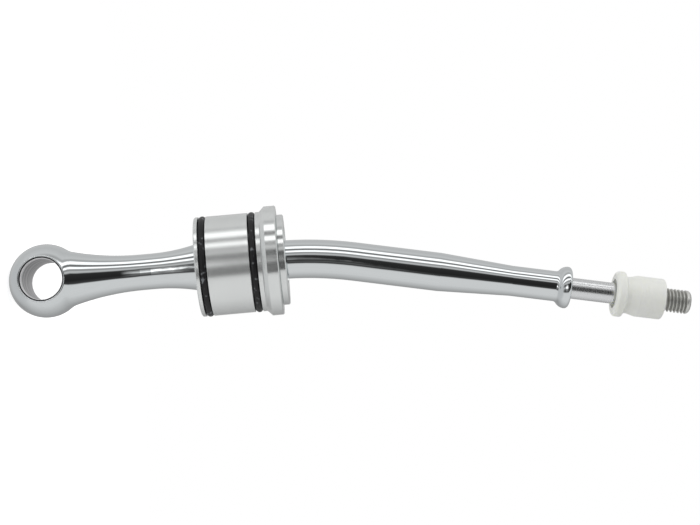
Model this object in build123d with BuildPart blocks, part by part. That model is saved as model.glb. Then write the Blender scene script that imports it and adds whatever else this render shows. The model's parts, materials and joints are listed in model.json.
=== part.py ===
from build123d import *
import os
from math import cos, radians, sin, sqrt

# A short-throw gear lever: a chromed lever that swivels on a ball inside a turned
# aluminium cartridge. Millimetres. The origin is the centre of the pivot ball, +Z runs
# up the cartridge's axis towards the knob, the lever leans towards +X, and the bore of
# its eye runs along Y. Names ending in _r are radii and names ending in _z are heights.

# Pivot ball and the bearing round it
ball_r = 13.0
ball_flat_z = 8.5
liner_r = 15.0
liner_half_height = 6.3
liner_slit = 1.2
seat_outer_r = 16.45
seat_gap = 0.5
seat_end_z = 9.5
seat_lip_z = 8.6
seat_mouth_r = 12.6
running_gap = 0.05

# Cartridge housing
housing_r = 21.0
housing_foot_z = -17.1
shoulder_z = 10.2
shoulder_rise = 2.1
flange_r = 23.1
flange_z = 17.1
bore_r = 16.5
throat_r = 13.2
mouth_r = 15.6
thread_r = 18.0
thread_floor_z = 12.0
rim_chamfer = 0.4

# O-rings and their grooves
o_ring_section_r = 1.5
o_ring_proud = 0.22
o_ring_path_r = housing_r + o_ring_proud - o_ring_section_r
groove_depth = 2 * o_ring_section_r - o_ring_proud
groove_width = 3.3
lower_groove_z = -13.85
upper_groove_z = 6.85

# Retaining ring with two pin-spanner holes
ring_r = 19.1
ring_top_z = 20.0
ring_foot_z = 12.2
ring_throat_r = 11.9
ring_mouth_r = 14.2
spanner_hole_r = 1.1
spanner_hole_depth = 2.2
spanner_circle_r = 16.4

# Backing washer and disc spring that press the seats together
washer_thickness = 1.0
washer_inner_r = 12.4
washer_outer_r = 16.3
spring_thickness = 0.9
spring_inner_r = 13.0
spring_outer_r = 16.1

# Lower arm: a waist between the eye and a flare that ends under the cartridge
waist_r = 7.52
waist_foot_z = -41.0
waist_top_z = -36.5
waist_curve_r = 110.0
flare_r = 10.1
flare_top_z = -16.6
neck_r = 9.0
neck_foot_z = -15.8
socket_end_z = -23.5

# Eye at the foot of the arm, and the bush pressed into it
eye_z = -81.2
eye_r = 15.5
eye_fillet = 8.0
eye_bore_r = 9.2
eye_rounding = 0.4
bush_inner_r = 8.5
bush_half_length = 11.2
bush_chamfer = 0.2

# Upper lever: its bend turns the axis by `lean` degrees round a corner point, and the
# lengths below are distances from that corner along the leaning axis
spigot_r = 6.0
spigot_foot_z = -22.5
shaft_r = 8.15
lean = 12.2
corner_z = 32.2
bend_tangent = 16.6
taper_start = 52.8
taper_end = 83.5
slim_r = 6.4
horn_start = 102.0
horn_middle = 103.4
horn_middle_r = 7.1
horn_crest_r = 8.85
lip_radius = 1.5
lever_end = 108.4
stud_socket_start = 88.0

# Knob stud and the adapter screwed onto it, in the same distances. Where their threads mesh,
# both are drawn at the thread's pitch radius, which is also the radius of the stem.
stem_r = 4.45
stud_r = 5.0
stud_end = 159.7
stud_chamfer = 1.3
adapter_start = 127.3
adapter_flange_r = 9.6
adapter_flange_end = 131.0
adapter_flange_slope = 0.9
adapter_neck_r = 7.8
adapter_neck_end = 133.6
adapter_body_start = 137.0
adapter_r = 8.65
adapter_end = 148.0
flange_face_rounding = 1.6
flange_back_rounding = 0.7
adapter_tip_rounding = 0.8
counterbore_r = 6.2
counterbore_depth = 2.0

# The leaning axis, and a sketch plane on it with x as the radius and y as the distance
lean_angle = radians(lean)
corner = Vector(0, 0, corner_z)
lean_plane = Plane(
    origin=corner,
    x_dir=(cos(lean_angle), 0, -sin(lean_angle)),
    z_dir=(0, -1, 0),
)
lean_axis = Axis(corner, (sin(lean_angle), 0, cos(lean_angle)))


def circle_r(sphere_r, height):
    """Radius of the circle that a plane at this distance from its centre cuts from a sphere."""
    return sqrt(sphere_r**2 - height**2)


# ------------------------------------------------------------------ cartridge
with BuildPart() as pivot_housing:
    with BuildSketch(Plane.XZ):
        with BuildLine():
            Polyline(
                (mouth_r, housing_foot_z),
                (housing_r - rim_chamfer, housing_foot_z),
                (housing_r, housing_foot_z + rim_chamfer),
                (housing_r, shoulder_z),
                (flange_r, shoulder_z + shoulder_rise),
                (flange_r, flange_z - rim_chamfer),
                (flange_r - rim_chamfer, flange_z),
                (thread_r, flange_z),
                (thread_r, thread_floor_z),
                (bore_r, thread_floor_z),
                (bore_r, -seat_end_z),
                (throat_r, -seat_end_z),
                close=True,
            )
        make_face()
        with Locations((housing_r, lower_groove_z), (housing_r, upper_groove_z)):
            Rectangle(2 * groove_depth, groove_width, mode=Mode.SUBTRACT)
    revolve(axis=Axis.Z)

with BuildPart() as lower_o_ring:
    with Locations((0, 0, lower_groove_z)):
        Torus(o_ring_path_r, o_ring_section_r)

with BuildPart() as upper_o_ring:
    with Locations((0, 0, upper_groove_z)):
        Torus(o_ring_path_r, o_ring_section_r)

with BuildPart() as retaining_ring:
    with BuildSketch(Plane.XZ):
        with BuildLine():
            Polyline(
                (ring_throat_r, ring_foot_z),
                (thread_r, ring_foot_z),
                (thread_r, flange_z),
                (ring_r - rim_chamfer, flange_z),
                (ring_r, flange_z + rim_chamfer),
                (ring_r, ring_top_z - rim_chamfer),
                (ring_r - rim_chamfer, ring_top_z),
                (ring_mouth_r, ring_top_z),
                close=True,
            )
        make_face()
    revolve(axis=Axis.Z)
    with BuildSketch(Plane.XY.offset(ring_top_z)):
        with PolarLocations(spanner_circle_r, 2):
            Circle(spanner_hole_r)
    extrude(amount=-spanner_hole_depth, mode=Mode.SUBTRACT)

with BuildPart() as backing_washer:
    with BuildSketch(Plane.XY.offset(seat_end_z)):
        Circle(washer_outer_r)
        Circle(washer_inner_r, mode=Mode.SUBTRACT)
    extrude(amount=washer_thickness)

with BuildPart() as disc_spring:
    with BuildSketch(Plane.XZ):
        with BuildLine():
            spring_foot_z = seat_end_z + washer_thickness
            Polyline(
                (spring_outer_r, spring_foot_z),
                (spring_outer_r, spring_foot_z + spring_thickness),
                (spring_inner_r, ring_foot_z),
                (spring_inner_r, ring_foot_z - spring_thickness),
                close=True,
            )
        make_face()
    revolve(axis=Axis.Z)

# -------------------------------------------------------------------- bearing
with BuildPart() as lower_seat:
    with BuildSketch(Plane.XZ):
        with BuildLine():
            cup_r = liner_r + running_gap
            lip = (circle_r(cup_r, seat_lip_z), -seat_lip_z)
            rim = (circle_r(cup_r, seat_gap), -seat_gap)
            RadiusArc(lip, rim, -cup_r)
            Polyline(
                rim,
                (seat_outer_r, -seat_gap),
                (seat_outer_r, -seat_end_z),
                (seat_mouth_r, -seat_end_z),
                lip,
            )
        make_face()
    revolve(axis=Axis.Z)

with BuildPart() as upper_seat:
    mirror(lower_seat.part, about=Plane.XY)

with BuildPart() as ball_liner:
    Sphere(liner_r)
    Cylinder(liner_r, 2 * liner_half_height, mode=Mode.INTERSECT)
    Sphere(ball_r + running_gap, mode=Mode.SUBTRACT)
    with Locations((0, liner_r, 0)):
        Box(liner_slit, liner_r, 2 * liner_r, mode=Mode.SUBTRACT)

with BuildPart() as pivot_ball:
    Sphere(ball_r)
    Cylinder(ball_r, 2 * ball_flat_z, mode=Mode.INTERSECT)
    Cylinder(spigot_r, 2 * ball_r, mode=Mode.SUBTRACT)

# ------------------------------------------------------------------ lower arm
with BuildPart() as eye_arm:
    with BuildSketch(Plane.XZ) as arm_outline:
        with BuildLine():
            eye_side_r = waist_r + waist_curve_r - circle_r(waist_curve_r, waist_foot_z - eye_z)
            Line((0, eye_z), (eye_side_r, eye_z))
            TangentArc((waist_r, waist_foot_z), (eye_side_r, eye_z), tangent=(0, -1))
            Line((waist_r, waist_foot_z), (waist_r, waist_top_z))
            TangentArc((waist_r, waist_top_z), (flare_r, flare_top_z), tangent=(0, 1))
            Polyline(
                (flare_r, flare_top_z),
                (neck_r, neck_foot_z),
                (neck_r, -ball_flat_z),
                (spigot_r, -ball_flat_z),
                (spigot_r, socket_end_z),
                (0, socket_end_z),
                (0, eye_z),
            )
        make_face()
        with BuildLine():
            CenterArc((0, eye_z), eye_r, -90, 180)
            Line((0, eye_z - eye_r), (0, eye_z + eye_r))
        make_face()
        eye_joint = arm_outline.vertices().sort_by_distance((eye_r, eye_z + eye_r))[0]
        fillet(eye_joint, eye_fillet)
    revolve(axis=Axis.Z)
    with BuildSketch(Plane.XZ):
        with Locations((0, eye_z)):
            Circle(eye_bore_r)
    extrude(amount=eye_r, both=True, mode=Mode.SUBTRACT)
    fillet(eye_arm.edges(Select.LAST).filter_by(GeomType.CIRCLE), eye_rounding)

with BuildPart() as eye_bush:
    with BuildSketch(Plane.XZ):
        with Locations((0, eye_z)):
            Circle(eye_bore_r)
            Circle(bush_inner_r, mode=Mode.SUBTRACT)
    extrude(amount=bush_half_length, both=True)
    chamfer(eye_bush.edges().filter_by(GeomType.CIRCLE), bush_chamfer)

# ---------------------------------------------------------------- upper lever
with BuildPart() as upper_lever:
    with BuildSketch(Plane.XY.offset(spigot_foot_z)):
        Circle(spigot_r)
    extrude(amount=ball_flat_z - spigot_foot_z)
    with BuildSketch(Plane.XY.offset(ball_flat_z)):
        Circle(shaft_r)
    extrude(amount=corner_z - bend_tangent - ball_flat_z)
    with BuildLine() as bend_line:
        bend_start = (0, 0, corner_z - bend_tangent)
        TangentArc(bend_start, lean_axis.position + lean_axis.direction * bend_tangent, tangent=(0, 0, 1))
    with BuildSketch(Plane.XY.offset(corner_z - bend_tangent)):
        Circle(shaft_r)
    sweep(path=bend_line.line)
    with BuildSketch(lean_plane):
        with BuildLine():
            Polyline(
                (0, lever_end),
                (0, bend_tangent),
                (shaft_r, bend_tangent),
                (shaft_r, taper_start),
                (slim_r, taper_end),
                (slim_r, horn_start),
            )
            horn_crest = lever_end - lip_radius
            TangentArc((slim_r, horn_start), (horn_middle_r, horn_middle), tangent=(0, 1))
            TangentArc((horn_crest_r, horn_crest), (horn_middle_r, horn_middle), tangent=(0, -1))
            RadiusArc((horn_crest_r, horn_crest), (horn_crest_r - lip_radius, lever_end), -lip_radius)
            Line((horn_crest_r - lip_radius, lever_end), (0, lever_end))
        make_face()
    revolve(axis=lean_axis)
    with BuildSketch(lean_plane):
        with Locations((0, stud_socket_start)):
            Rectangle(stem_r, lever_end, align=(Align.MIN, Align.MIN))
    revolve(axis=lean_axis, mode=Mode.SUBTRACT)

with BuildPart() as knob_stud:
    with BuildSketch(lean_plane):
        with BuildLine():
            Polyline(
                (0, stud_socket_start),
                (stem_r, stud_socket_start),
                (stem_r, adapter_end),
                (stud_r, adapter_end),
                (stud_r, stud_end - stud_chamfer),
                (stud_r - stud_chamfer, stud_end),
                (0, stud_end),
                close=True,
            )
        make_face()
    revolve(axis=lean_axis)

with BuildPart() as knob_adapter:
    with BuildSketch(lean_plane) as adapter_outline:
        with BuildLine():
            Polyline(
                (counterbore_r, adapter_start),
                (adapter_flange_r, adapter_start),
                (adapter_flange_r, adapter_flange_end),
                (adapter_neck_r, adapter_flange_end + adapter_flange_slope),
                (adapter_neck_r, adapter_neck_end),
                (adapter_r, adapter_body_start),
                (adapter_r, adapter_end),
                (stem_r, adapter_end),
                (stem_r, adapter_start + counterbore_depth),
                (counterbore_r, adapter_start + counterbore_depth),
                close=True,
            )
        make_face()
        rounded_corners = (
            (adapter_flange_r, adapter_start, flange_face_rounding),
            (adapter_flange_r, adapter_flange_end, flange_back_rounding),
            (adapter_r, adapter_end, adapter_tip_rounding),
        )
        for corner_r, corner_height, rounding in rounded_corners:
            nearest = adapter_outline.vertices().sort_by_distance((corner_r, corner_height))[0]
            fillet(nearest, rounding)
    revolve(axis=lean_axis)

# -------------------------------------------------------------------- exports
pivot_housing.part.label = "pivot_housing"
lower_o_ring.part.label = "lower_o_ring"
upper_o_ring.part.label = "upper_o_ring"
retaining_ring.part.label = "retaining_ring"
backing_washer.part.label = "backing_washer"
disc_spring.part.label = "disc_spring"
lower_seat.part.label = "lower_seat"
upper_seat.part.label = "upper_seat"
ball_liner.part.label = "ball_liner"
pivot_ball.part.label = "pivot_ball"
eye_arm.part.label = "eye_arm"
eye_bush.part.label = "eye_bush"
upper_lever.part.label = "upper_lever"
knob_stud.part.label = "knob_stud"
knob_adapter.part.label = "knob_adapter"

os.makedirs("parts", exist_ok=True)
export_step(pivot_housing.part, "parts/pivot_housing.step")
export_step(lower_o_ring.part, "parts/lower_o_ring.step")
export_step(upper_o_ring.part, "parts/upper_o_ring.step")
export_step(retaining_ring.part, "parts/retaining_ring.step")
export_step(backing_washer.part, "parts/backing_washer.step")
export_step(disc_spring.part, "parts/disc_spring.step")
export_step(lower_seat.part, "parts/lower_seat.step")
export_step(upper_seat.part, "parts/upper_seat.step")
export_step(ball_liner.part, "parts/ball_liner.step")
export_step(pivot_ball.part, "parts/pivot_ball.step")
export_step(eye_arm.part, "parts/eye_arm.step")
export_step(eye_bush.part, "parts/eye_bush.step")
export_step(upper_lever.part, "parts/upper_lever.step")
export_step(knob_stud.part, "parts/knob_stud.step")
export_step(knob_adapter.part, "parts/knob_adapter.step")
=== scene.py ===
"""Looks of the short-throw gear lever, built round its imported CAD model.

Metres, in the part's own frame: the origin is the centre of the pivot ball, +Z runs up the
cartridge towards the knob, the upper lever leans towards +X, and the eye's bore runs along Y.
"""

import json
from math import cos, pi, radians, sin, sqrt

import bmesh
import bpy
from mathutils import Matrix, Vector


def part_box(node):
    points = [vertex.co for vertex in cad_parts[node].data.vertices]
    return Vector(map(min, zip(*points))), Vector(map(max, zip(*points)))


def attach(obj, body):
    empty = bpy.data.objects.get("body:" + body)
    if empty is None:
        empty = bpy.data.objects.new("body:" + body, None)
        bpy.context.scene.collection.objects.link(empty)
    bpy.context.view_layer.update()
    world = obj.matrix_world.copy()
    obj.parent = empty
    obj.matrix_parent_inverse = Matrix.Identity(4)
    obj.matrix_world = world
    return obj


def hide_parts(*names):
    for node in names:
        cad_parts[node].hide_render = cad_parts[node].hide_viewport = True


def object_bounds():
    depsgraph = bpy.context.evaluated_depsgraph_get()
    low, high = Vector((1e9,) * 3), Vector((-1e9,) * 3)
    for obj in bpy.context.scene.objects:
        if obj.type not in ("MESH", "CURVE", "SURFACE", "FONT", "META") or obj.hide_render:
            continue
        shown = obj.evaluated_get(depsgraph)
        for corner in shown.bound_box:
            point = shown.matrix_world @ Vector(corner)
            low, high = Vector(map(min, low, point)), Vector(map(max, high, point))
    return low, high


MM = 0.001
UP = (0.0, 0.0, 1.0)

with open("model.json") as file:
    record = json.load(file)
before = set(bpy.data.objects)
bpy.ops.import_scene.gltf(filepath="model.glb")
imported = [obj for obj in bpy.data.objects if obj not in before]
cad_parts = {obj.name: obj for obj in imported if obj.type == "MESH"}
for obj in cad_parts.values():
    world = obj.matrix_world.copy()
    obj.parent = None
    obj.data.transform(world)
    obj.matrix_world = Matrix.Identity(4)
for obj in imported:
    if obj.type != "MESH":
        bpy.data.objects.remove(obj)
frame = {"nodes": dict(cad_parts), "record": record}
cad_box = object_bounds()
nodes = frame["nodes"]
mounts = {mount["name"]: mount for mount in frame["record"]["mounts"]}

knob_thread = mounts["knob_thread"]
lever_point = Vector(knob_thread["pos_m"])
lever_axis = Vector(knob_thread["axis"]).normalized()
thread_half_length = knob_thread["dims"]["length_mm"] * MM / 2
crest_r = knob_thread["dims"]["r_mm"] * MM
bush_low, bush_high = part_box("eye_bush")
eye_centre = (bush_low + bush_high) / 2
bush_half_length = (bush_high.y - bush_low.y) / 2
bush_r = (bush_high.x - bush_low.x) / 2


# ------------------------------------------------------------ node helpers
def new_material(name):
    """An empty node material, with its Principled shader wired to the output."""
    material = bpy.data.materials.new(name)
    material.use_nodes = True
    tree = material.node_tree
    tree.nodes.clear()
    output = tree.nodes.new("ShaderNodeOutputMaterial")
    shader = tree.nodes.new("ShaderNodeBsdfPrincipled")
    tree.links.new(shader.outputs["BSDF"], output.inputs["Surface"])
    return material, tree, shader


def plug(tree, target, value):
    """Sets an input to a value, or links it to another node's socket."""
    if isinstance(value, bpy.types.NodeSocket):
        tree.links.new(value, target)
    else:
        target.default_value = value


def math_node(tree, operation, *values, clamp=False):
    node = tree.nodes.new("ShaderNodeMath")
    node.operation = operation
    node.use_clamp = clamp
    for socket, value in zip(node.inputs, values):
        plug(tree, socket, value)
    return node.outputs[0]


def vector_node(tree, operation, first, second=None):
    """A vector operation. Its result is a number for a dot product or a length."""
    node = tree.nodes.new("ShaderNodeVectorMath")
    node.operation = operation
    plug(tree, node.inputs[0], first)
    if second is not None:
        plug(tree, node.inputs[1], second)
    return node.outputs["Value" if operation in ("DOT_PRODUCT", "LENGTH") else "Vector"]


def ramp_node(tree, factor, stops):
    """A grey ramp from (position, brightness) stops."""
    node = tree.nodes.new("ShaderNodeValToRGB")
    elements = node.color_ramp.elements
    while len(elements) < len(stops):
        elements.new(0.5)
    for element, (position, level) in zip(elements, stops):
        element.position = position
        element.color = (level, level, level, 1)
    plug(tree, node.inputs["Fac"], factor)
    return node.outputs["Color"]


def noise_node(tree, vector, scale, detail=2.0):
    node = tree.nodes.new("ShaderNodeTexNoise")
    plug(tree, node.inputs["Vector"], vector)
    node.inputs["Scale"].default_value = scale
    node.inputs["Detail"].default_value = detail
    return node.outputs["Fac"]


def spread_node(tree, value, low, high, start=0.0, end=1.0, smooth=False):
    """Maps start to end onto low to high, and holds the value outside that range."""
    node = tree.nodes.new("ShaderNodeMapRange")
    node.interpolation_type = "SMOOTHSTEP" if smooth else "LINEAR"
    plug(tree, node.inputs["Value"], value)
    node.inputs["From Min"].default_value = start
    node.inputs["From Max"].default_value = end
    node.inputs["To Min"].default_value = low
    node.inputs["To Max"].default_value = high
    return node.outputs["Result"]


def bump_node(tree, height, distance):
    node = tree.nodes.new("ShaderNodeBump")
    plug(tree, node.inputs["Height"], height)
    node.inputs["Distance"].default_value = distance
    return node.outputs["Normal"]


def mix_colour(tree, factor, first, second):
    node = tree.nodes.new("ShaderNodeMix")
    node.data_type = "RGBA"
    plug(tree, node.inputs["Factor"], factor)
    plug(tree, node.inputs["A"], first if isinstance(first, bpy.types.NodeSocket) else (*first, 1))
    plug(tree, node.inputs["B"], second if isinstance(second, bpy.types.NodeSocket) else (*second, 1))
    return node.outputs["Result"]


def object_point(tree):
    return tree.nodes.new("ShaderNodeTexCoord").outputs["Object"]


def lathe_coordinates(tree, origin, axis):
    """Distance along an axis and distance from it, as two sockets, in metres."""
    offset = vector_node(tree, "SUBTRACT", object_point(tree), tuple(origin))
    along = vector_node(tree, "DOT_PRODUCT", offset, tuple(axis))
    length = vector_node(tree, "LENGTH", offset)
    squared = math_node(tree, "SUBTRACT", math_node(tree, "POWER", length, 2.0),
                        math_node(tree, "POWER", along, 2.0))
    return along, math_node(tree, "SQRT", math_node(tree, "MAXIMUM", squared, 0.0))


def tool_marks(tree, origin, axis, pitch):
    """Fine rings left by a turning tool: noise that changes only along and away from the axis."""
    along, radius = lathe_coordinates(tree, origin, axis)
    combine = tree.nodes.new("ShaderNodeCombineXYZ")
    plug(tree, combine.inputs["X"], math_node(tree, "DIVIDE", along, pitch))
    plug(tree, combine.inputs["Y"], math_node(tree, "DIVIDE", radius, pitch))
    return noise_node(tree, combine.outputs[0], 1.0, detail=3.0)


# --------------------------------------------------------------- materials
def chrome_material():
    """Polished chrome plate, with a faint ripple in the plating and smudges that dull it."""
    material, tree, shader = new_material("chrome_plate")
    point = object_point(tree)
    shader.inputs["Metallic"].default_value = 1.0
    shader.inputs["Base Color"].default_value = (0.785, 0.815, 0.825, 1)
    smudges = noise_node(tree, point, 90.0, detail=4.0)
    plug(tree, shader.inputs["Roughness"], spread_node(tree, smudges, 0.015, 0.06))
    ripple = noise_node(tree, point, 140.0, detail=1.0)
    plug(tree, shader.inputs["Normal"], bump_node(tree, ripple, 0.03 * MM))
    return material


def turned_material(name, colour, origin, axis, roughness, pitch, depth, metallic=1.0, fine_from=None):
    """Bright turned metal with rings of tool marks and slight blotches.

    Its finish is finer beyond the distance fine_from along the axis.
    """
    fine_share = 0.6
    material, tree, shader = new_material(name)
    shader.inputs["Metallic"].default_value = metallic
    marks = tool_marks(tree, origin, axis, pitch)
    blotches = noise_node(tree, object_point(tree), 120.0, detail=3.0)
    darker = tuple(0.92 * channel for channel in colour)
    plug(tree, shader.inputs["Base Color"], mix_colour(tree, blotches, darker, colour))
    finish = spread_node(tree, marks, roughness * 0.6, roughness * 1.4)
    if fine_from is not None:
        along, radius = lathe_coordinates(tree, origin, axis)
        polish = spread_node(tree, along, 1.0, fine_share, fine_from, fine_from + 1.0 * MM)
        finish = math_node(tree, "MULTIPLY", finish, polish)
    plug(tree, shader.inputs["Roughness"], finish)
    plug(tree, shader.inputs["Normal"], bump_node(tree, marks, depth))
    return material


def bush_material():
    """Machined steel bush: dull at its mouths, with oily streaks between; its wall is paler at the mouths
    and darker deeper in as painted light and shade, with a painted shadow line round its edge.
    """
    material, tree, shader = new_material("machined_bush")
    bore_axis = (0.0, 1.0, 0.0)
    along, radius = lathe_coordinates(tree, eye_centre, bore_axis)
    marks = tool_marks(tree, eye_centre, bore_axis, 0.9 * MM)
    oil = spread_node(tree, marks, 0.0, 1.0, 0.35, 0.65)
    # Painted light and shade: the wall is paler near both mouths of the bore and darker deeper in, over its
    # oily streaks.
    oil_and_shade = mix_colour(tree, oil, (0.30, 0.30, 0.31), (0.66, 0.66, 0.67))
    mouth = spread_node(tree, math_node(tree, "ABSOLUTE", along), 0.0, 1.0,
                        bush_half_length - 3.5 * MM, bush_half_length - 2.0 * MM, smooth=True)
    metal = mix_colour(tree, mouth, oil_and_shade, (0.80, 0.80, 0.81))
    # Painted shadow: a near-black line round the bush's outer edge, standing in for the shade in the gap
    # between the bush and the eye.
    gap_shadow = spread_node(tree, radius, 0.0, 1.0, bush_r - 0.52 * MM, bush_r - 0.42 * MM)
    plug(tree, shader.inputs["Base Color"], mix_colour(tree, gap_shadow, metal, (0.02, 0.02, 0.02)))
    plug(tree, shader.inputs["Metallic"], spread_node(tree, mouth, 1.0, 0.35))
    plug(tree, shader.inputs["Roughness"], spread_node(tree, marks, 0.22, 0.40))
    plug(tree, shader.inputs["Normal"], bump_node(tree, marks, 0.03 * MM))
    return material


def rubber_material():
    """Black O-ring rubber with a dull sheen, a film of dust and scattered pale specks."""
    material, tree, shader = new_material("o_ring_rubber")
    point = object_point(tree)
    dust = noise_node(tree, point, 160.0, detail=4.0)
    film = mix_colour(tree, dust, (0.004, 0.004, 0.005), (0.012, 0.012, 0.013))
    specks = spread_node(tree, noise_node(tree, point, 520.0, detail=2.0), 0.0, 1.0, 0.62, 0.70)
    plug(tree, shader.inputs["Base Color"], mix_colour(tree, specks, film, (0.15, 0.16, 0.17)))
    plug(tree, shader.inputs["Roughness"], spread_node(tree, dust, 0.30, 0.52))
    shader.inputs["Specular IOR Level"].default_value = 0.35
    grain = noise_node(tree, point, 2500.0, detail=3.0)
    plug(tree, shader.inputs["Normal"], bump_node(tree, grain, 0.02 * MM))
    return material


def nylon_material():
    """White nylon: light sinks in a little, and the lathe has left faint rings."""
    material, tree, shader = new_material("white_nylon")
    point = object_point(tree)
    mottle = noise_node(tree, point, 220.0, detail=3.0)
    plug(tree, shader.inputs["Base Color"], mix_colour(tree, mottle, (0.83, 0.84, 0.80), (0.90, 0.91, 0.87)))
    shader.inputs["Roughness"].default_value = 0.42
    shader.inputs["Subsurface Weight"].default_value = 0.4
    shader.inputs["Subsurface Radius"].default_value = (1.0, 1.0, 0.85)
    shader.inputs["Subsurface Scale"].default_value = 1.0 * MM
    marks = tool_marks(tree, lever_point, lever_axis, 0.35 * MM)
    plug(tree, shader.inputs["Normal"], bump_node(tree, marks, 0.06 * MM))
    return material


def thread_material():
    """Bare steel thread: bright on its crests and dark down in its roots, partly from grime and partly as
    painted shade.
    """
    material, tree, shader = new_material("thread_steel")
    shader.inputs["Metallic"].default_value = 0.8
    along, radius = lathe_coordinates(tree, lever_point, lever_axis)
    height = spread_node(tree, radius, 0.0, 1.0, crest_r - THREAD_DEPTH, crest_r)
    specks = noise_node(tree, object_point(tree), 900.0, detail=4.0)
    clean_and_unshaded = math_node(tree, "MULTIPLY", height, spread_node(tree, specks, 0.6, 1.2), clamp=True)
    # Painted shade: the roots are darker than the crests partly from grime and partly as shade in the
    # grooves.
    plug(tree, shader.inputs["Base Color"], mix_colour(tree, clean_and_unshaded, (0.38, 0.38, 0.36), (0.84, 0.84, 0.81)))
    plug(tree, shader.inputs["Roughness"], spread_node(tree, clean_and_unshaded, 0.55, 0.32))
    plug(tree, shader.inputs["Normal"], bump_node(tree, specks, 0.02 * MM))
    return material


def mottled_material(name, dark, light, roughness, scale, metallic):
    """A plain ground, sprung or moulded surface with a mottled tone."""
    material, tree, shader = new_material(name)
    mottle = noise_node(tree, object_point(tree), scale, detail=4.0)
    shader.inputs["Metallic"].default_value = metallic
    plug(tree, shader.inputs["Base Color"], mix_colour(tree, mottle, dark, light))
    plug(tree, shader.inputs["Roughness"], spread_node(tree, mottle, roughness * 0.7, roughness * 1.3))
    plug(tree, shader.inputs["Normal"], bump_node(tree, mottle, 0.01 * MM))
    return material


# ------------------------------------------------------------------ pieces
SEGMENTS = 96
SHARP_ANGLE = radians(35)

# The stud: an ISO metric thread that fades out LAST_THREAD before a rounded tip.
THREAD_PITCH = 1.5 * MM
THREAD_DEPTH = 0.6134 * THREAD_PITCH
ROWS_PER_PITCH = 24
THREAD_RUN_IN = 1.5 * MM
TIP_ROUNDING = 2.0 * MM
TIP_FLAT_R = 0.64 * crest_r
LAST_THREAD = 2.4 * MM
THREAD_FADE = 1.0 * MM

# The adapter: turned rings on its body, and a countersunk exit for the thread.
ADAPTER_STEP = 0.1 * MM
RING_PITCH = 1.3 * MM
RING_DEPTH = 0.05 * MM
BORE_CLEARANCE = 0.05 * MM
COUNTERSINK = 0.6 * MM


def lathe_points(node):
    """(distance along the lever's axis, distance from it) of each corner of a CAD node."""
    points = []
    for vertex in nodes[node].data.vertices:
        offset = vertex.co - lever_point
        along = offset.dot(lever_axis)
        points.append((along, (offset - lever_axis * along).length))
    return points


def lathe_piece(name, rings, closed):
    """A piece swept round the lever's axis. A ring is (distance along it, radius of each point)."""
    side = lever_axis.orthogonal().normalized()
    across = lever_axis.cross(side)
    builder = bmesh.new()
    loops = []
    for along, radii in rings:
        centre = lever_point + lever_axis * along
        loop = []
        for step, radius in enumerate(radii):
            angle = 2 * pi * step / SEGMENTS
            loop.append(builder.verts.new(centre + (side * cos(angle) + across * sin(angle)) * radius))
        loops.append(loop)
    if closed:
        loops.append(loops[0])
    else:
        builder.faces.new(reversed(loops[0]))
        builder.faces.new(loops[-1])
    for first, second in zip(loops, loops[1:]):
        for step in range(SEGMENTS):
            after = (step + 1) % SEGMENTS
            builder.faces.new((first[step], first[after], second[after], second[step]))
    for face in builder.faces:
        face.smooth = True
    mesh = bpy.data.meshes.new(name)
    builder.to_mesh(mesh)
    builder.free()
    mesh.set_sharp_from_angle(angle=SHARP_ANGLE)
    piece = bpy.data.objects.new(name, mesh)
    bpy.context.scene.collection.objects.link(piece)
    return piece


def thread_radius(along, turn, depth):
    """Radius of a right-hand 60 degree thread at a distance along it and a share of a turn round."""
    half_crest = 1 / 16
    half_root = 1 / 8
    from_crest = abs((along / THREAD_PITCH - turn) % 1 - 0.5)
    slope = (from_crest - half_crest) / (0.5 - half_root - half_crest)
    return crest_r - depth * min(1.0, max(0.0, slope))


def make_threaded_stud():
    """The stud with its real helical thread, which fades out into a smooth, rounded tip."""
    points = lathe_points("knob_stud")
    foot = min(along for along, radius in points)
    tip = max(along for along, radius in points)
    stem_r = max(radius for along, radius in points if along < foot + MM)
    thread_start = -thread_half_length - THREAD_RUN_IN
    row_count = round(ROWS_PER_PITCH * (tip - thread_start) / THREAD_PITCH)
    rings = [(foot, [stem_r] * SEGMENTS), (thread_start, [stem_r] * SEGMENTS)]
    for row in range(1, row_count + 1):
        along = thread_start + (tip - thread_start) * row / row_count
        depth = THREAD_DEPTH * min(1.0, max(0.0, (tip - LAST_THREAD - along) / THREAD_FADE + 1))
        into_tip = max(0.0, 1 - (tip - along) / TIP_ROUNDING)
        rounding = TIP_FLAT_R + (crest_r - TIP_FLAT_R) * sqrt(1 - into_tip**2)
        rings.append((along, [min(rounding, thread_radius(along, step / SEGMENTS, depth))
                              for step in range(SEGMENTS)]))
    stud = lathe_piece("threaded_stud", rings, closed=False)
    stem_steel = turned_material("polished_stem", (0.86, 0.87, 0.88), lever_point, lever_axis,
                                 0.26, 0.3 * MM, 0.004 * MM)
    stud.data.materials.append(stem_steel)
    stud.data.materials.append(thread_material())
    for polygon in stud.data.polygons:
        if (polygon.center - lever_point).dot(lever_axis) > thread_start:
            polygon.material_index = 1
    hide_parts("knob_stud")
    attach(stud, "lever")


def outline_radius(outline, along):
    """Radius of a piecewise straight outline at a distance between its ends."""
    for (before, before_r), (after, after_r) in zip(outline, outline[1:]):
        if along <= after:
            return before_r + (after_r - before_r) * (along - before) / (after - before)
    return outline[-1][1]


def ring_groove(along, seat_start, seat_end):
    """Depth of the turned ring grooves round the adapter's body, which get fainter to its end."""
    if not seat_start < along < seat_end:
        return 0.0
    share = (along - seat_start) / (seat_end - seat_start)
    wave = 0.5 - 0.5 * cos(2 * pi * (along - seat_start) / RING_PITCH)
    return RING_DEPTH * wave**3 * (1 - 0.75 * share)


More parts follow.
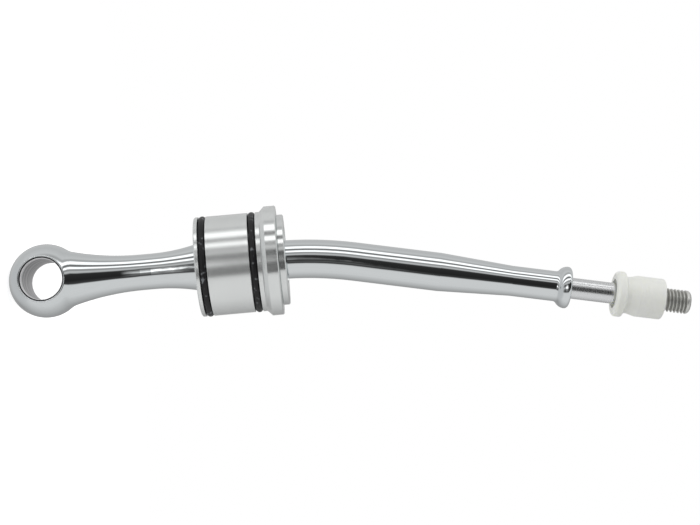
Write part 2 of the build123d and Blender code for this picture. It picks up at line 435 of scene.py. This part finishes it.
def make_turned_adapter():
    """The nylon adapter with its turned rings, a counterbore round the stem and a countersunk exit."""
    seat = mounts["knob_seat"]
    seat_middle = (Vector(seat["pos_m"]) - lever_point).dot(lever_axis)
    seat_half_length = seat["dims"]["length_mm"] * MM / 2
    points = lathe_points("knob_adapter")
    outer_limit = 0.75 * max(radius for along, radius in points)
    corners = {}
    for along, radius in points:
        if radius > outer_limit:
            place = round(along, 6)
            corners[place] = max(radius, corners.get(place, 0.0))
    outline = sorted(corners.items())
    start = outline[0][0]
    end = outline[-1][0]
    bore_points = [(along, radius) for along, radius in points if radius < outer_limit]
    counterbore_r = max(radius for along, radius in bore_points)
    counterbore_floor = min(along for along, radius in bore_points if radius < counterbore_r - 0.5 * MM)

    stations = set(corners)
    for step in range(1, int((end - start) / ADAPTER_STEP)):
        along = start + step * ADAPTER_STEP
        if min(abs(along - corner) for corner in corners) > ADAPTER_STEP / 4:
            stations.add(along)
    loop = []
    for along in sorted(stations):
        groove = ring_groove(along, seat_middle - seat_half_length, seat_middle + seat_half_length)
        loop.append((along, outline_radius(outline, along) - groove))
    bore_r = crest_r + BORE_CLEARANCE
    loop += [
        (end, bore_r + COUNTERSINK),
        (end - COUNTERSINK, bore_r),
        (counterbore_floor, bore_r),
        (counterbore_floor, counterbore_r),
        (start, counterbore_r),
    ]
    rings = [(along, [radius] * SEGMENTS) for along, radius in loop]
    adapter = lathe_piece("turned_adapter", rings, closed=True)
    adapter.data.materials.append(nylon_material())
    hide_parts("knob_adapter")
    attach(adapter, "lever")


def dress(node_names, material):
    """Gives CAD nodes their material."""
    for name in node_names:
        mesh = nodes[name].data
        mesh.materials.clear()
        mesh.materials.append(material)


def dress_nodes():
    aluminium = (0.87, 0.89, 0.885)
    bronze = (0.55, 0.38, 0.18)
    pivot = (0.0, 0.0, 0.0)
    dress(["eye_arm", "upper_lever"], chrome_material())
    flange_foot = 10.0 * MM
    dress(["pivot_housing"], turned_material("turned_aluminium", aluminium, pivot, UP, 0.21, 0.25 * MM,
                                             0.004 * MM, metallic=0.84, fine_from=flange_foot))
    dress(["retaining_ring"], turned_material("ring_aluminium", aluminium, pivot, UP,
                                              0.12, 0.3 * MM, 0.004 * MM, metallic=0.88))
    dress(["lower_o_ring", "upper_o_ring"], rubber_material())
    dress(["eye_bush"], bush_material())
    dress(["lower_seat", "upper_seat"], turned_material("seat_bronze", bronze, pivot, UP,
                                                        0.3, 0.3 * MM, 0.01 * MM))
    dress(["backing_washer", "disc_spring"],
          mottled_material("spring_steel", (0.20, 0.20, 0.22), (0.30, 0.30, 0.32), 0.35, 600.0, 1.0))
    dress(["pivot_ball"],
          mottled_material("ground_ball_steel", (0.50, 0.50, 0.52), (0.60, 0.60, 0.62), 0.15, 600.0, 1.0))
    dress(["ball_liner"],
          mottled_material("liner_plastic", (0.62, 0.61, 0.56), (0.74, 0.73, 0.68), 0.45, 300.0, 0.0))


# ------------------------------------------------------------------ camera
CAMERA_LENS = 66.9
CAMERA_DISTANCE = 0.5505
CAMERA_AZIMUTH = radians(5.0)
CAMERA_ELEVATION = radians(-1.5)
CAMERA_ROLL = radians(5.15)
CAMERA_TARGET = Vector((3.75 * MM, 0, 46.6 * MM))


def make_camera():
    """A camera beside the lever, rolled so that the lever lies across the picture."""
    back = Vector((sin(CAMERA_AZIMUTH) * cos(CAMERA_ELEVATION),
                   -cos(CAMERA_AZIMUTH) * cos(CAMERA_ELEVATION),
                   sin(CAMERA_ELEVATION)))
    level_right = (Vector(UP) - back * back.z).normalized()
    level_up = back.cross(level_right)
    right = level_right * cos(CAMERA_ROLL) - level_up * sin(CAMERA_ROLL)
    up = level_right * sin(CAMERA_ROLL) + level_up * cos(CAMERA_ROLL)
    data = bpy.data.cameras.new("camera")
    data.lens = CAMERA_LENS
    data.sensor_width = 36
    camera = bpy.data.objects.new("camera", data)
    bpy.context.scene.collection.objects.link(camera)
    turn = Matrix((right, up, back)).transposed().to_4x4()
    camera.matrix_world = Matrix.Translation(CAMERA_TARGET + back * CAMERA_DISTANCE) @ turn
    bpy.context.scene.camera = camera


# ------------------------------------------------------------------ studio
# Brightness of the light tent at an angle round the lever, in degrees from the camera: a dark
# slot where the camera looks in, two strip lights on one side of it, and a pale cloth beyond.
TENT = (
    (-180, 0.46),
    (-152, 0.34),
    (-136, 0.40),
    (-118, 0.50),
    (-104, 0.58),
    (-85, 0.69),
    (-70, 0.715),
    (-33, 0.71),
    (-28, 0.64),
    (-23, 0.05),
    (-10, 0.020),
    (12, 0.026),
    (21, 0.04),
    (25, 0.46),
    (30, 0.62),
    (34, 0.34),
    (41, 0.34),
    (44, 1.45),
    (51, 1.45),
    (54, 0.40),
    (58, 0.16),
    (63, 0.20),
    (68, 1.45),
    (79, 1.45),
    (82, 0.60),
    (88, 0.40),
    (98, 0.64),
    (125, 0.56),
    (150, 0.58),
    (180, 0.48),
)
# A streak of light inside the slot: its brightness round the lever in degrees, and along it
# from the middle of the tent (0) to the end beyond the eye (1).
STREAK_ROUND = (
    (-22, 0.0),
    (-16, 0.14),
    (-5, 0.20),
    (0, 1.0),
    (7, 1.0),
    (12, 0.30),
    (18, 0.14),
    (24, 0.0),
)
STREAK_ALONG = (
    (0.0, 0.0),
    (0.06, 0.4),
    (0.12, 0.75),
    (0.16, 1.6),
    (0.33, 1.6),
    (0.40, 1.2),
    (0.48, 0.5),
    (1.0, 0.4),
)
# The tent's ends are plain grey. The end beyond the eye reaches further in than the other.
END_GREY = (0.56, 0.565, 0.57)


def around_stops(stops):
    """Ramp stops for brightness given at angles from -180 to 180 degrees."""
    return [(0.5 + degrees / 360, level) for degrees, level in stops]


def make_world():
    """The light tent. It turns round +Z with the camera, so each side of the lever is lit alike."""
    world = bpy.data.worlds.new("studio")
    bpy.context.scene.world = world
    world.use_nodes = True
    tree = world.node_tree
    tree.nodes.clear()
    direction = tree.nodes.new("ShaderNodeTexCoord").outputs["Generated"]
    camera_back = tree.nodes.new("ShaderNodeVectorTransform")
    camera_back.vector_type = "VECTOR"
    camera_back.convert_from = "CAMERA"
    camera_back.convert_to = "WORLD"
    camera_back.inputs["Vector"].default_value = (0, 0, -1)
    above = vector_node(tree, "CROSS_PRODUCT", camera_back.outputs["Vector"], UP)
    above = vector_node(tree, "NORMALIZE", above)
    back = vector_node(tree, "CROSS_PRODUCT", UP, above)
    upward = vector_node(tree, "DOT_PRODUCT", direction, above)
    backward = vector_node(tree, "DOT_PRODUCT", direction, back)
    along = vector_node(tree, "DOT_PRODUCT", direction, UP)
    angle = math_node(tree, "ARCTAN2", upward, backward)
    turn = math_node(tree, "ADD", math_node(tree, "DIVIDE", angle, 2 * pi), 0.5)
    tent_point = tree.nodes.new("ShaderNodeCombineXYZ")
    for name, part in zip("XYZ", (upward, backward, along)):
        plug(tree, tent_point.inputs[name], part)
    cloth = noise_node(tree, tent_point.outputs[0], 14.0, detail=3.0)

    tent = math_node(tree, "MULTIPLY", ramp_node(tree, turn, around_stops(TENT)),
                     spread_node(tree, cloth, 0.94, 1.06))
    streak_round = ramp_node(tree, turn, around_stops(STREAK_ROUND))
    streak_along = ramp_node(tree, math_node(tree, "MULTIPLY", along, -1.0), STREAK_ALONG)
    streak = math_node(tree, "MULTIPLY", math_node(tree, "MULTIPLY", streak_round, streak_along),
                       spread_node(tree, cloth, 0.4, 1.6, 0.3, 0.7))
    level = math_node(tree, "ADD", tent, streak)
    eye_end = spread_node(tree, along, 1.0, 0.0, -0.92, -0.62, smooth=True)
    knob_end = spread_node(tree, along, 0.0, 1.0, 0.90, 1.0, smooth=True)
    fade = math_node(tree, "MAXIMUM", eye_end, knob_end)

    lit = tree.nodes.new("ShaderNodeBackground")
    plug(tree, lit.inputs["Color"], mix_colour(tree, fade, level, END_GREY))
    plain = tree.nodes.new("ShaderNodeBackground")
    plain.inputs["Color"].default_value = (1, 1, 1, 1)
    mix = tree.nodes.new("ShaderNodeMixShader")
    plug(tree, mix.inputs[0], tree.nodes.new("ShaderNodeLightPath").outputs["Is Camera Ray"])
    tree.links.new(lit.outputs[0], mix.inputs[1])
    tree.links.new(plain.outputs[0], mix.inputs[2])
    output = tree.nodes.new("ShaderNodeOutputWorld")
    tree.links.new(mix.outputs[0], output.inputs["Surface"])


def make_floor():
    """A pale round floor under the eye that fades out into the white backdrop."""
    radius = 0.4
    bpy.ops.mesh.primitive_circle_add(vertices=SEGMENTS, radius=radius, fill_type="NGON",
                                      location=(0, 0, cad_box[0].z))
    floor = bpy.context.object
    floor.name = "floor"
    material, tree, shader = new_material("pale_floor")
    output = tree.nodes["Material Output"]
    shader.inputs["Base Color"].default_value = (0.85, 0.85, 0.85, 1)
    shader.inputs["Roughness"].default_value = 0.9
    shader.inputs["Emission Color"].default_value = (1, 1, 1, 1)
    shader.inputs["Emission Strength"].default_value = 0.68
    along, distance = lathe_coordinates(tree, (0, 0, 0), UP)
    clear = tree.nodes.new("ShaderNodeBsdfTransparent")
    mix = tree.nodes.new("ShaderNodeMixShader")
    plug(tree, mix.inputs[0], spread_node(tree, distance, 0.0, 1.0, 0.35 * radius, radius, smooth=True))
    tree.links.new(shader.outputs[0], mix.inputs[1])
    tree.links.new(clear.outputs[0], mix.inputs[2])
    tree.links.new(mix.outputs[0], output.inputs["Surface"])
    floor.data.materials.append(material)
    floor.visible_glossy = False


def make_lights():
    """One large soft light overhead that lights the floor but isn't mirrored in the chrome."""
    data = bpy.data.lights.new("overhead", "AREA")
    data.shape = "DISK"
    data.size = 0.8
    data.energy = 1.5
    light = bpy.data.objects.new("overhead", data)
    light.location = (-0.27, -0.42, 0.52)
    light.rotation_euler = light.location.to_track_quat("Z", "Y").to_euler()
    light.visible_glossy = False
    bpy.context.scene.collection.objects.link(light)


dress_nodes()
make_threaded_stud()
make_turned_adapter()
make_camera()
make_world()
make_floor()
make_lights()
bpy.context.scene.view_settings.view_transform = "Standard"
